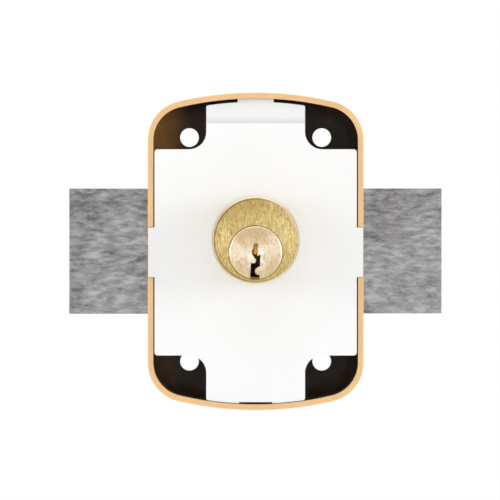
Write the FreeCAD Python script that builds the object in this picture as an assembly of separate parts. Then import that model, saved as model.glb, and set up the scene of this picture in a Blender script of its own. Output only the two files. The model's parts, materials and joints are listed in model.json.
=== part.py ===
"""Rim deadbolt with two bolts that leave the case on opposite sides, worked by one central pinion.

Frame: +Z up, +X to the right as the door face of the lock is looked at, +Y into the lock, away from the door.
The origin lies on the axis of the cylinder barrel, in the plane of the case rim that rests on the door.
"""
import FreeCAD, Part
import math
import os

# Case: a drawn steel shell, open at the door, with bulged ends
CASE_WIDTH = 55.0
CASE_HEIGHT = 81.0
CASE_DEPTH = 22.0
CASE_WALL = 1.4
CASE_END_WALL = 1.5
CASE_CORNER_RADIUS = 10.0
CASE_END_RADIUS = 86.0
CASE_EDGE_RADIUS = 5.0

# Fixing holes through the face of the case
FIXING_FROM_SIDE = 10.5
FIXING_FROM_END = 11.75
FIXING_RADIUS = 2.4
FIXING_RAISE = 0.3
FIXING_EDGE_BREAK = 0.35

# Back plate: a sheet pressing that closes the case on the door side, with a stepped upper tongue
PLATE_THICKNESS = 1.5
PLATE_RECESS = 0.2
PLATE_SIDE_GAP = 0.3
PLATE_TOP_GAP = 0.85
PLATE_BOTTOM_GAP = 0.15
SHOULDER_INSIDE_HOLES = 2.45
PLATE_LOWER = 0.25
TONGUE_FILLET = 4.4
SHOULDER_CORNER = 0.8
TONGUE_CORNER = 0.5
SIDE_TAB_HEIGHT = 12.7
TOP_TAB_WIDTH = 9.2
TOP_TAB_HOLD = 1.2
TONGUE_BEND_BELOW_TOP = 7.8
TONGUE_STEP = 1.2
TONGUE_BEND_ANGLE = 50.0
TONGUE_BEND_RADIUS = 0.35
TONGUE_EASE_RADIUS = 2.9
END_NOTCH_WIDTH = 8.5
END_NOTCH_DEPTH = 0.4
TAB_CLEARANCE = 0.2

# Rack and pinion: stub teeth, and one turn of the pinion is one full throw
PINION_TEETH = 8
PRESSURE_ANGLE = 30.0
ADDENDUM_SHARE = 0.8
DEDENDUM_SHARE = 1.05
BACKLASH = 0.12

# Bolts: flat bars in two layers, each with a forked tail that straddles the pinion
BOLT_HEIGHT = 32.0
BOLT_THICKNESS = 5.0
BOLT_SLOT_CLEARANCE = 0.15
BOLT_LAYER_GAP = 0.3
BOLT_FRONT = 4.8
BOLT_EDGE_BREAK = 0.4
FORK_CLEARANCE = 0.6
FORK_STOP_CLEARANCE = 0.5
GUIDE_SLOT_CLEARANCE = 0.1
GUIDE_SLOT_SPARE = 0.2
GUIDE_END_WEB = 2.7

# Guide pillars, welded to the back plate, that space the case and guide the bolts
PILLAR_SPACING = 22.0
PILLAR_RADIUS = 2.5
PILLAR_FOOT_RADIUS = 3.5
SLEEVE_WALL = 1.0
SLEEVE_CLEARANCE = 0.1
SPRING_WASHER_THICKNESS = 0.4
SPRING_WASHER_RISE = 0.5
STACK_CLEARANCE = 0.1

# Case screws, from the room side into the pillars
CASE_SCREW_RADIUS = 1.45
CASE_SCREW_HEAD_RADIUS = 2.75
CASE_SCREW_HEAD_HEIGHT = 1.8
CASE_SCREW_LENGTH = 9.0
THREAD_CLEARANCE = 0.05
SCREW_HOLE_CLEARANCE = 0.2

# Cylinder barrel and plug
BARREL_RADIUS = 11.0
BARREL_LENGTH = 30.0
BARREL_EDGE_BREAK = 0.35
BARREL_THIN_WALL = 1.2
PLUG_RADIUS = 6.2
PLUG_HEAD_STEP = 0.5
PLUG_HEAD_DEPTH = 1.4
PLUG_HEAD_CLEARANCE = 0.08
PLUG_EDGE_BREAK = 0.35
PLUG_EDGE_DEPTH = 0.14
PLUG_CLEARANCE = 0.03
KEYWAY_EDGE_BREAK = 0.2

# Cylinder fixing screws, from inside the case through the back plate
CYLINDER_SCREW_ANGLE = 48.0
CYLINDER_SCREW_RADIUS = 1.95
CYLINDER_SCREW_HEAD_RADIUS = 3.2
CYLINDER_SCREW_HEAD_HEIGHT = 2.5
CYLINDER_SCREW_LENGTH = 10.0

# Retaining clip at the rear of the plug
CLIP_THICKNESS = 0.8
CLIP_STEP = 0.6
CLIP_GROOVE_DEPTH = 0.9
CLIP_GAP_ANGLE = 70.0
CLIP_PLAY = 0.05
CLIP_RECESS_DEPTH = 2.1
CLIP_RECESS_CLEARANCE = 0.1
PLUG_END_COLLAR = 0.8

# Tailpiece, from the plug into the pinion hub
TAIL_WIDTH = 6.0
TAIL_THICKNESS = 1.5
TAIL_CLEARANCE = 0.1
TAIL_IN_PLUG = 4.0
TAIL_IN_HUB = 3.8
TAIL_PIN_RADIUS = 0.75

# Pin tumblers
FIRST_PIN_FROM_FACE = 5.5
LAST_PIN_FROM_REAR = 8.5
PIN_RADIUS = 1.45
PIN_CLEARANCE = 0.05
KEY_PIN_LENGTHS = (7.6, 5.9, 6.7, 5.5, 6.3)
KEY_PIN_POINT = 1.0
KEY_PIN_TIP_RADIUS = 0.3
CHAMBER_FLOOR = -1.8
DRIVER_PIN_LENGTH = 3.0
SHEAR_GAP = 0.05
CAP_THICKNESS = 1.2
SPRING_WIRE = 0.25
SPRING_RADIUS = 1.15
SPRING_TURNS = 4.5

# Hub: journals either side of the pinion, and the square that carries the knob
REAR_JOURNAL_RADIUS = 5.0
REAR_JOURNAL_START = 0.4
REAR_COLLAR_STEP = 0.6
REAR_COLLAR_THICKNESS = 1.0
COLLAR_CLEARANCE = 0.15
JOURNAL_CLEARANCE = 0.06
FRONT_JOURNAL_RADIUS = 4.0
FRONT_COLLAR_STEP = 1.5
SQUARE_WIDTH = 5.0
SQUARE_CLEARANCE = 0.05
SQUARE_IN_KNOB = 9.0

# Bush in the face of the case
BUSH_WALL = 0.95
BUSH_FLANGE_STEP = 2.0
BUSH_FLANGE_THICKNESS = 1.0

# Knob on the room side
KNOB_GAP = 0.4
KNOB_SCREW_CLEARANCE = 0.25
KNOB_BASE_THICKNESS = 4.6
KNOB_WING_LENGTH = 30.0
KNOB_WING_THICKNESS = 10.0
KNOB_WING_HEIGHT = 14.0
KNOB_WAIST = 1.6
KNOB_SCOOP_RADIUS = 12.0
KNOB_EDGE_RADIUS = 1.4
SET_SCREW_RADIUS = 1.5
SET_SCREW_LENGTH = 5.0

# Worked out from the sizes above: the throw is what the case has room for, and the teeth are sized to give it
PLUG_HEAD_RADIUS = PLUG_RADIUS + PLUG_HEAD_STEP
AXIS_Z = PLUG_HEAD_RADIUS + BARREL_THIN_WALL - BARREL_RADIUS
GUIDE_RADIUS = PILLAR_RADIUS + GUIDE_SLOT_CLEARANCE
FORK_END = GUIDE_SLOT_SPARE + GUIDE_RADIUS + GUIDE_END_WEB
THROW = CASE_WIDTH / 2 - CASE_WALL - FORK_STOP_CLEARANCE - FORK_END
RACK_PITCH = THROW / PINION_TEETH
GEAR_MODULE = RACK_PITCH / math.pi
PITCH_RADIUS = THROW / (2 * math.pi)
ADDENDUM = ADDENDUM_SHARE * GEAR_MODULE
DEDENDUM = DEDENDUM_SHARE * GEAR_MODULE
TIP_RADIUS = PITCH_RADIUS + ADDENDUM
PLATE_INNER = PLATE_RECESS + PLATE_THICKNESS
FACE_INNER = CASE_DEPTH - CASE_WALL
LEFT_LAYER = BOLT_FRONT
RIGHT_LAYER = BOLT_FRONT + BOLT_THICKNESS + BOLT_LAYER_GAP
LAYERS_END = RIGHT_LAYER + BOLT_THICKNESS
CHAMBER_RADIUS = PIN_RADIUS + PIN_CLEARANCE
BARREL_FRONT = -BARREL_LENGTH
CLIP_RADIUS = PLUG_RADIUS + CLIP_STEP
BUSH_RADIUS = FRONT_JOURNAL_RADIUS + JOURNAL_CLEARANCE + BUSH_WALL
KNOB_BASE_RADIUS = PILLAR_SPACING / 2 - CASE_SCREW_HEAD_RADIUS - KNOB_SCREW_CLEARANCE


def vec(x, y, z):
    return FreeCAD.Vector(x, y, z)


def rod(radius, y_from, y_to, x=0.0, z=AXIS_Z):
    """A cylinder along Y, on the hub axis unless it is placed elsewhere."""
    return Part.makeCylinder(radius, y_to - y_from, vec(x, y_from, z), vec(0, 1, 0))


def upright(radius, z_from, z_to, x, y):
    return Part.makeCylinder(radius, z_to - z_from, vec(x, y, z_from), vec(0, 0, 1))


def block(x_from, x_to, y_from, y_to, z_from, z_to):
    return Part.makeBox(x_to - x_from, y_to - y_from, z_to - z_from, vec(x_from, y_from, z_from))


def prism(edges, y_from, y_to):
    """Extrudes closed edges drawn at y 0 from one depth to another."""
    face = Part.Face(Part.Wire(edges))
    face.translate(vec(0, y_from, 0))
    return face.extrude(vec(0, y_to - y_from, 0))


def polygon(points):
    """Straight edges round a closed list of (x, z) points, at y 0."""
    corners = [vec(x, 0, z) for x, z in points]
    return [Part.LineSegment(a, b).toShape() for a, b in zip(corners, corners[1:] + corners[:1])]


def turned(shape, degrees):
    """A copy of the shape turned about the hub axis."""
    copy = shape.copy()
    copy.rotate(vec(0, 0, AXIS_Z), vec(0, 1, 0), degrees)
    return copy


def edges_at(shape, keep):
    """The edges whose every corner and middle satisfies keep(point)."""
    found = []
    for edge in shape.Edges:
        middle = edge.valueAt((edge.FirstParameter + edge.LastParameter) / 2)
        if all(keep(p) for p in [middle] + [v.Point for v in edge.Vertexes]):
            found.append(edge)
    return found


def near(a, b):
    return abs(a - b) < 1e-4


# Case outline: straight sides, bulged ends and rounded corners, each inset from the outside of the case

def case_outline(side_inset, end_inset):
    side = CASE_WIDTH / 2 - side_inset
    end_radius = CASE_END_RADIUS - end_inset
    end_centre = CASE_HEIGHT / 2 - CASE_END_RADIUS
    corner_radius = CASE_CORNER_RADIUS - side_inset
    corner_x = side - corner_radius
    corner_z = end_centre + math.sqrt((end_radius - corner_radius) ** 2 - corner_x ** 2)
    lean = math.atan2(corner_z - end_centre, corner_x)

    def at(x, z, up):
        return vec(x, 0, AXIS_Z + up * z)

    def on_end(angle):
        return end_radius * math.cos(angle), end_centre + end_radius * math.sin(angle)

    def on_corner(angle):
        return corner_x + corner_radius * math.cos(angle), corner_z + corner_radius * math.sin(angle)

    edges = []
    for up in (1, -1):
        tangent = on_end(lean)
        crown = on_end(math.pi / 2)
        bend = on_corner(lean / 2)
        left, right = at(-tangent[0], tangent[1], up), at(tangent[0], tangent[1], up)
        edges.append(Part.Arc(left, at(crown[0], crown[1], up), right).toShape())
        for way, top in ((1, right), (-1, left)):
            low = at(way * side, corner_z, up)
            edges.append(Part.Arc(top, at(way * bend[0], bend[1], up), low).toShape())
    for way in (1, -1):
        edges.append(Part.LineSegment(at(way * side, corner_z, 1), at(way * side, corner_z, -1)).toShape())
    return Part.__sortEdges__(edges)


def fixing_x():
    return CASE_WIDTH / 2 - FIXING_FROM_SIDE


def fixing_rise():
    """How far the fixing holes lie above and below the middle of their pattern."""
    return CASE_HEIGHT / 2 - FIXING_FROM_END


def fixing_places():
    centre = AXIS_Z + FIXING_RAISE
    return [(way * fixing_x(), centre + up * fixing_rise()) for way in (-1, 1) for up in (-1, 1)]


def pillar_heights():
    return [AXIS_Z + up * PILLAR_SPACING / 2 for up in (-1, 1)]


def cylinder_screw_places():
    """Up from the plug axis at an angle, midway between the clip's recess and the outside of the barrel."""
    angle = math.radians(CYLINDER_SCREW_ANGLE)
    outside = math.sqrt(BARREL_RADIUS ** 2 - (AXIS_Z * math.cos(angle)) ** 2) - AXIS_Z * math.sin(angle)
    middle = (CLIP_RADIUS + CLIP_RECESS_CLEARANCE + outside) / 2
    return [(way * middle * math.cos(angle), AXIS_Z + middle * math.sin(angle)) for way in (-1, 1)]


def pin_stations():
    """Places of the pins along Y, spread evenly between the first and the last."""
    first = BARREL_FRONT + FIRST_PIN_FROM_FACE
    spaces = len(KEY_PIN_LENGTHS) - 1
    pitch = (-LAST_PIN_FROM_REAR - first) / spaces
    return [first + pitch * i for i in range(spaces + 1)]


# Case shell

def bolt_window(way, layer):
    half = BOLT_HEIGHT / 2 + BOLT_SLOT_CLEARANCE
    sides = sorted((way * (CASE_WIDTH / 2 - 2 * CASE_WALL), way * (CASE_WIDTH / 2 + CASE_WALL)))
    y_from = layer - BOLT_SLOT_CLEARANCE
    y_to = layer + BOLT_THICKNESS + BOLT_SLOT_CLEARANCE
    return block(sides[0], sides[1], y_from, y_to, AXIS_Z - half, AXIS_Z + half)


def make_case_shell():
    outer = prism(case_outline(0, 0), 0, CASE_DEPTH)
    outer = outer.makeFillet(CASE_EDGE_RADIUS, edges_at(outer, lambda p: near(p.y, CASE_DEPTH)))
    inner = prism(case_outline(CASE_WALL, CASE_END_WALL), -CASE_WALL, FACE_INNER)
    inner = inner.makeFillet(CASE_EDGE_RADIUS - CASE_WALL, edges_at(inner, lambda p: near(p.y, FACE_INNER)))
    shell = outer.cut(inner)
    cuts = [bolt_window(-1, LEFT_LAYER), bolt_window(1, RIGHT_LAYER)]
    tab_half = SIDE_TAB_HEIGHT / 2 + TAB_CLEARANCE
    tab_z = AXIS_Z - PLATE_LOWER
    cuts.append(block(-CASE_WIDTH, CASE_WIDTH, -CASE_WALL, PLATE_INNER + TAB_CLEARANCE,
                      tab_z - tab_half, tab_z + tab_half))
    cuts.append(top_tab_slot())
    for x, z in fixing_places():
        cuts.append(rod(FIXING_RADIUS, FACE_INNER - 1, CASE_DEPTH + 1, x, z))
        cuts.append(Part.makeCone(FIXING_RADIUS, FIXING_RADIUS + 2 * FIXING_EDGE_BREAK, 2 * FIXING_EDGE_BREAK,
                                  vec(x, CASE_DEPTH - FIXING_EDGE_BREAK, z), vec(0, 1, 0)))
    for z in pillar_heights():
        cuts.append(rod(CASE_SCREW_RADIUS + SCREW_HOLE_CLEARANCE, FACE_INNER - 1, CASE_DEPTH + 1, 0, z))
    cuts.append(rod(BUSH_RADIUS, FACE_INNER - 1, CASE_DEPTH + 1))
    return shell.cut(cuts)


# Back plate

def bend_height():
    return AXIS_Z + CASE_HEIGHT / 2 - TONGUE_BEND_BELOW_TOP


def stepped_sheet(half_width, top):
    """The upper tongue: flat up to the bend, then sloping into the case and easing back to run flat again.

    The step is coined between dies, so its bends have the same radii on both faces.
    """
    lean = math.radians(TONGUE_BEND_ANGLE)
    door_y, inner_y = PLATE_RECESS, PLATE_INNER
    bend = bend_height()
    ease = bend + TONGUE_STEP / math.tan(lean)
    lag = PLATE_THICKNESS * math.tan(lean / 2)
    section = [(door_y, AXIS_Z), (door_y, bend), (door_y + TONGUE_STEP, ease), (door_y + TONGUE_STEP, top),
               (inner_y + TONGUE_STEP, top), (inner_y + TONGUE_STEP, ease - lag),
               (inner_y, bend - lag), (inner_y, AXIS_Z)]
    corners = [vec(-half_width, y, z) for y, z in section]
    sheet = Part.Face(Part.makePolygon(corners + corners[:1])).extrude(vec(2 * half_width, 0, 0))
    for (y, z), radius in ((section[1], TONGUE_BEND_RADIUS), (section[6], TONGUE_BEND_RADIUS),
                           (section[2], TONGUE_EASE_RADIUS), (section[5], TONGUE_EASE_RADIUS)):
        sheet = sheet.makeFillet(radius, edges_at(sheet, lambda p, y=y, z=z: near(p.y, y) and near(p.z, z)))
    return sheet


def slab(z_from, z_to):
    """Everything between two heights."""
    return block(-CASE_WIDTH, CASE_WIDTH, -CASE_DEPTH, 2 * CASE_DEPTH, z_from, z_to)


def top_tab_slot():
    """The slot in the top wall that the tab of the stepped tongue hooks into."""
    half = TOP_TAB_WIDTH / 2 + TAB_CLEARANCE
    y_from = PLATE_RECESS + TONGUE_STEP - TAB_CLEARANCE
    y_to = PLATE_INNER + TONGUE_STEP + TAB_CLEARANCE
    top = AXIS_Z + CASE_HEIGHT / 2
    return block(-half, half, y_from, y_to, top - 2 * CASE_END_WALL, top + CASE_WALL)


def make_back_plate():
    shoulder = fixing_rise() - SHOULDER_INSIDE_HOLES
    centre = AXIS_Z - PLATE_LOWER
    side = CASE_WIDTH / 2 - CASE_WALL - PLATE_SIDE_GAP
    tongue = fixing_x() - TONGUE_FILLET
    cross = block(-side, side, PLATE_RECESS, PLATE_INNER, centre - shoulder, centre + shoulder)
    cross = cross.makeFillet(SHOULDER_CORNER, edges_at(cross, lambda p: near(abs(p.x), side)
                                                       and near(abs(p.z - centre), shoulder)))
    lower = block(-tongue, tongue, PLATE_RECESS, PLATE_INNER, centre - CASE_HEIGHT, AXIS_Z)
    upper = stepped_sheet(tongue, AXIS_Z + CASE_HEIGHT / 2)
    plate = cross.fuse([lower, upper]).removeSplitter()
    inner_corners = edges_at(plate, lambda p: near(abs(p.x), tongue) and near(abs(p.z - centre), shoulder))
    plate = plate.makeFillet(TONGUE_FILLET, inner_corners)
    side_inset = CASE_WALL + PLATE_SIDE_GAP
    above = prism(case_outline(side_inset, CASE_END_WALL + PLATE_TOP_GAP), -CASE_DEPTH, CASE_DEPTH)
    below = prism(case_outline(side_inset, CASE_END_WALL + PLATE_BOTTOM_GAP), -CASE_DEPTH, CASE_DEPTH)
    upper_room = above.common(slab(AXIS_Z, AXIS_Z + CASE_HEIGHT))
    lower_room = below.common(slab(AXIS_Z - CASE_HEIGHT, AXIS_Z))
    plate = plate.common(upper_room.fuse(lower_room)).removeSplitter()
    tongue_ends = edges_at(plate, lambda p: near(abs(p.x), tongue)
                           and abs(p.z - AXIS_Z) > shoulder + TONGUE_FILLET + TONGUE_CORNER)
    across = [edge for edge in tongue_ends if near(edge.Vertexes[0].Z, edge.Vertexes[-1].Z)
              and abs(edge.Vertexes[0].Z - AXIS_Z) > CASE_HEIGHT / 2 - TONGUE_BEND_BELOW_TOP + TONGUE_CORNER]
    plate = plate.makeFillet(TONGUE_CORNER, across)
    tab_top = AXIS_Z + CASE_HEIGHT / 2 - CASE_END_WALL + TOP_TAB_HOLD
    tab = stepped_sheet(TOP_TAB_WIDTH / 2, tab_top).common(slab(bend_height(), tab_top))
    tab_reach = CASE_WIDTH / 2 - TAB_CLEARANCE / 2
    tab_half = SIDE_TAB_HEIGHT / 2
    side_tabs = block(-tab_reach, tab_reach, PLATE_RECESS, PLATE_INNER, centre - tab_half, centre + tab_half)
    plate = plate.fuse([tab, side_tabs]).removeSplitter()
    notch_half = END_NOTCH_WIDTH / 2
    notch_top = AXIS_Z - CASE_HEIGHT / 2 + CASE_END_WALL + PLATE_BOTTOM_GAP + END_NOTCH_DEPTH
    cuts = [slab(AXIS_Z - CASE_HEIGHT, notch_top).common(
                block(-notch_half, notch_half, -CASE_DEPTH, CASE_DEPTH, AXIS_Z - CASE_HEIGHT, AXIS_Z)),
            rod(REAR_JOURNAL_RADIUS + JOURNAL_CLEARANCE, -CASE_DEPTH, CASE_DEPTH)]
    for x, z in cylinder_screw_places():
        cuts.append(rod(CYLINDER_SCREW_RADIUS + SCREW_HOLE_CLEARANCE, -CASE_DEPTH, CASE_DEPTH, x, z))
    return plate.cut(cuts)


# Pillars, sleeves, spring washers and case screws

def make_guide_pillars():
    pillars = []
    for z in pillar_heights():
        foot = rod(PILLAR_FOOT_RADIUS, PLATE_INNER, BOLT_FRONT - STACK_CLEARANCE, 0, z)
        shank = rod(PILLAR_RADIUS, PLATE_INNER, FACE_INNER - STACK_CLEARANCE, 0, z)
        tapped_from = CASE_DEPTH - CASE_SCREW_LENGTH - 1
        tapping = rod(CASE_SCREW_RADIUS + THREAD_CLEARANCE, tapped_from, CASE_DEPTH, 0, z)
        pillars.append(foot.fuse(shank).removeSplitter().cut(tapping))
    return pillars


def washer_start():
    return LAYERS_END + STACK_CLEARANCE


def make_spring_washers():
    """Dished washers that press the bolts lightly against the pillar feet."""
    washers = []
    inner = PILLAR_RADIUS + SLEEVE_CLEARANCE
    outer = inner + SLEEVE_WALL
    low = washer_start()
    section = [(outer, low), (outer, low + SPRING_WASHER_THICKNESS),
               (inner, low + SPRING_WASHER_RISE + SPRING_WASHER_THICKNESS), (inner, low + SPRING_WASHER_RISE)]
    for z in pillar_heights():
        corners = [vec(x, y, z) for x, y in section]
        face = Part.Face(Part.makePolygon(corners + corners[:1]))
        washers.append(face.revolve(vec(0, 0, z), vec(0, 1, 0), 360))
    return washers


def make_spacer_sleeves():
    start = washer_start() + SPRING_WASHER_RISE + SPRING_WASHER_THICKNESS
    bore = PILLAR_RADIUS + SLEEVE_CLEARANCE
    sleeves = []
    for z in pillar_heights():
        body = rod(bore + SLEEVE_WALL, start, FACE_INNER, 0, z)
        sleeves.append(body.cut(rod(bore, start - 1, FACE_INNER + 1, 0, z)))
    return sleeves


def cross_recess(radius, y_from, y_to, x, z):
    """Two crossed slots for a driver."""
    width = radius / 4
    slots = [block(x - radius, x + radius, y_from, y_to, z - width, z + width),
             block(x - width, x + width, y_from, y_to, z - radius, z + radius)]
    return slots[0].fuse(slots[1])


def make_case_screws():
    screws = []
    for z in pillar_heights():
        shank = rod(CASE_SCREW_RADIUS, CASE_DEPTH - CASE_SCREW_LENGTH, CASE_DEPTH, 0, z)
        head = rod(CASE_SCREW_HEAD_RADIUS, CASE_DEPTH, CASE_DEPTH + CASE_SCREW_HEAD_HEIGHT, 0, z)
        top = CASE_DEPTH + CASE_SCREW_HEAD_HEIGHT
        head = head.makeFillet(CASE_SCREW_HEAD_HEIGHT / 2, edges_at(head, lambda p: near(p.y, top)))
        recess = cross_recess(CASE_SCREW_HEAD_RADIUS * 0.6, top - CASE_SCREW_HEAD_HEIGHT * 0.6, top + 1, 0, z)
        screws.append(shank.fuse(head).removeSplitter().cut(recess))
    return screws


# Rack and pinion

def involute_point(base, radius, centre_angle, half_angle, way):
    """A point on a tooth flank at the given radius, as (x, z) about the pinion axis."""
    roll = math.acos(base / radius)
    turn = half_angle - (math.tan(roll) - roll)
    angle = centre_angle + way * turn
    return radius * math.cos(angle), radius * math.sin(angle)


def pinion_outline():
    """Eight stub teeth, one of them pointing straight up: involute flanks, radial below the base circle."""
    pressure = math.radians(PRESSURE_ANGLE)
    base = PITCH_RADIUS * math.cos(pressure)
    root = PITCH_RADIUS - DEDENDUM
    half_at_base = math.pi / (2 * PINION_TEETH) + math.tan(pressure) - pressure
    steps = 4
    radii = [base + (TIP_RADIUS - base) * i / steps for i in range(steps + 1)]
    edges = []
    pitch_angle = 2 * math.pi / PINION_TEETH

    def point(xz):
        return vec(xz[0], 0, AXIS_Z + xz[1])

    def flank(centre, way, rising):
        points = [point(involute_point(base, r, centre, half_at_base, way)) for r in radii]
        if not rising:
            points.reverse()
        curve = Part.BSplineCurve()
        curve.interpolate(points)
        return curve.toShape()

    def polar(radius, angle):
        return point((radius * math.cos(angle), radius * math.sin(angle)))

    def arc(start, middle, end):
        return Part.Arc(start, middle, end).toShape()

    for tooth in range(PINION_TEETH):
        centre = math.pi / 2 + tooth * pitch_angle
        low, high = centre - half_at_base, centre + half_at_base
        rise = flank(centre, -1, True)
        fall = flank(centre, 1, False)
        edges.append(Part.LineSegment(polar(root, low), polar(base, low)).toShape())
        edges.append(rise)
        edges.append(arc(rise.lastVertex().Point, polar(TIP_RADIUS, centre), fall.firstVertex().Point))
        edges.append(fall)
        edges.append(Part.LineSegment(polar(base, high), polar(root, high)).toShape())
        next_low = low + pitch_angle
        edges.append(arc(polar(root, high), polar(root, (high + next_low) / 2), polar(root, next_low)))
    return Part.__sortEdges__(edges)


def rack_gap(place, y_from, y_to):
    """The space between two rack teeth, above the pinion, centred on one place along X."""
    slope = math.tan(math.radians(PRESSURE_ANGLE))
    half = math.pi * GEAR_MODULE / 4 + BACKLASH / 2
    line = AXIS_Z + PITCH_RADIUS
    below = ADDENDUM + BACKLASH
    low, high = line - below, line + DEDENDUM
    half_low, half_high = half + below * slope, half - DEDENDUM * slope
    points = [(place - half_low, low), (place + half_low, low),
              (place + half_high, high), (place - half_high, high)]
    return prism(polygon(points), y_from, y_to)


# Bolts

def make_left_bolt(layer):
    """The bolt on the left, thrown: its rack lies above the pinion and its fork is open to the right."""
    y_from, y_to = layer, layer + BOLT_THICKNESS
    half = BOLT_HEIGHT / 2
    nose = -CASE_WIDTH / 2 - THROW
    bar = block(nose, FORK_END, y_from, y_to, AXIS_Z - half, AXIS_Z + half)
    bar = bar.makeChamfer(BOLT_EDGE_BREAK, [edge for edge in edges_at(bar, lambda p: near(p.x, nose))
                                            if near(edge.Vertexes[0].Y, edge.Vertexes[1].Y)])
    slot_top = AXIS_Z + PITCH_RADIUS - ADDENDUM
    slot_low = AXIS_Z - TIP_RADIUS - FORK_CLEARANCE
    slot_start = -THROW - TIP_RADIUS - FORK_CLEARANCE
    cuts = [block(slot_start, CASE_WIDTH, y_from - 1, y_to + 1, slot_low, slot_top)]
    first = math.floor(slot_start / RACK_PITCH) + 1
    last = math.floor(FORK_END / RACK_PITCH)
    for n in range(first, last + 1):
        cuts.append(rack_gap(n * RACK_PITCH, y_from - 1, y_to + 1))
    for z in pillar_heights():
        ends = (-THROW - GUIDE_SLOT_SPARE, GUIDE_SLOT_SPARE)
        cuts.append(block(ends[0], ends[1], y_from - 1, y_to + 1, z - GUIDE_RADIUS, z + GUIDE_RADIUS))
        for x in ends:
            cuts.append(rod(GUIDE_RADIUS, y_from - 1, y_to + 1, x, z))
    return bar.cut(cuts).removeSplitter()


def make_right_bolt():
    return turned(make_left_bolt(RIGHT_LAYER), 180)


# Hub, bush and knob

def tail_slot(y_from, y_to):
    half_x = TAIL_THICKNESS / 2 + TAIL_CLEARANCE
    half_z = TAIL_WIDTH / 2 + TAIL_CLEARANCE
    return block(-half_x, half_x, y_from, y_to, AXIS_Z - half_z, AXIS_Z + half_z)


def rear_collar_start():
    return PLATE_INNER + COLLAR_CLEARANCE


def bush_flange_start():
    return FACE_INNER - BUSH_FLANGE_THICKNESS


def square_bar(width, y_from, y_to):
    half = width / 2
    return block(-half, half, y_from, y_to, AXIS_Z - half, AXIS_Z + half)


def make_drive_pinion():
    collar_start = rear_collar_start()
    teeth_start = BOLT_FRONT - COLLAR_CLEARANCE
    teeth_end = LAYERS_END + COLLAR_CLEARANCE
    front_end = bush_flange_start() - COLLAR_CLEARANCE
    knob_face = CASE_DEPTH + KNOB_GAP
    pieces = [rod(REAR_JOURNAL_RADIUS, REAR_JOURNAL_START, teeth_start),
              rod(REAR_JOURNAL_RADIUS + REAR_COLLAR_STEP, collar_start, collar_start + REAR_COLLAR_THICKNESS),
              rod(FRONT_JOURNAL_RADIUS + FRONT_COLLAR_STEP, teeth_end, front_end),
              rod(FRONT_JOURNAL_RADIUS, front_end, knob_face),
              square_bar(SQUARE_WIDTH, knob_face, knob_face + SQUARE_IN_KNOB)]
    hub = prism(pinion_outline(), teeth_start, teeth_end).fuse(pieces).removeSplitter()
    return hub.cut(tail_slot(REAR_JOURNAL_START - 1, teeth_start))


def make_hub_bush():
    start = bush_flange_start()
    body = rod(BUSH_RADIUS + BUSH_FLANGE_STEP, start, FACE_INNER).fuse(rod(BUSH_RADIUS, start, CASE_DEPTH))
    return body.removeSplitter().cut(rod(FRONT_JOURNAL_RADIUS + JOURNAL_CLEARANCE, start - 1, CASE_DEPTH + 1))


def set_screw_height():
    return CASE_DEPTH + KNOB_GAP + KNOB_BASE_THICKNESS / 2


def make_knob():
    start = CASE_DEPTH + KNOB_GAP
    wing_start = start + KNOB_BASE_THICKNESS
    wing_end = wing_start + KNOB_WING_HEIGHT
    base = rod(KNOB_BASE_RADIUS, start, wing_start)
    base = base.makeFillet(KNOB_EDGE_RADIUS / 2, edges_at(base, lambda p: near(p.y, wing_start)))
    half_x = KNOB_WING_THICKNESS / 2
    straight = KNOB_WING_LENGTH / 2 - half_x
    low, high = AXIS_Z - straight, AXIS_Z + straight
    wing = block(-half_x, half_x, wing_start, wing_end, low, high)
    wing = wing.fuse([rod(half_x, wing_start, wing_end, 0, z) for z in (low, high)]).removeSplitter()
    scoop_y = wing_start + KNOB_WING_HEIGHT * 0.45
    scoop_low, scoop_high = AXIS_Z - KNOB_WING_LENGTH, AXIS_Z + KNOB_WING_LENGTH
    for way in (-1, 1):
        centre = way * (half_x - KNOB_WAIST + KNOB_SCOOP_RADIUS)
        wing = wing.cut(upright(KNOB_SCOOP_RADIUS, scoop_low, scoop_high, centre, scoop_y))
    wing = wing.makeFillet(KNOB_EDGE_RADIUS, edges_at(wing, lambda p: near(p.y, wing_end)))
    knob = base.fuse(wing).removeSplitter()
    socket_end = start + SQUARE_IN_KNOB + SQUARE_CLEARANCE
    socket = square_bar(SQUARE_WIDTH + 2 * SQUARE_CLEARANCE, start - 1, socket_end)
    screw_hole = Part.makeCylinder(SET_SCREW_RADIUS + THREAD_CLEARANCE, KNOB_BASE_RADIUS,
                                   vec(0, set_screw_height(), AXIS_Z), vec(1, 0, 0))
    return knob.cut([socket, screw_hole])


def make_knob_set_screw():
    tip = SQUARE_WIDTH / 2 + SQUARE_CLEARANCE
    middle = set_screw_height()
    screw = Part.makeCylinder(SET_SCREW_RADIUS, SET_SCREW_LENGTH, vec(tip, middle, AXIS_Z), vec(1, 0, 0))
    slot = block(tip + SET_SCREW_LENGTH * 0.8, KNOB_BASE_RADIUS, middle - SET_SCREW_RADIUS / 5,
                 middle + SET_SCREW_RADIUS / 5, AXIS_Z - SET_SCREW_RADIUS, AXIS_Z + SET_SCREW_RADIUS)
    return screw.cut(slot)


# Cylinder body, plug and tail

def clip_shoulder():
    return PLATE_RECESS - CLIP_RECESS_DEPTH


def plug_end():
    return clip_shoulder() + CLIP_PLAY + CLIP_THICKNESS + 2 * CLIP_PLAY + PLUG_END_COLLAR


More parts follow.
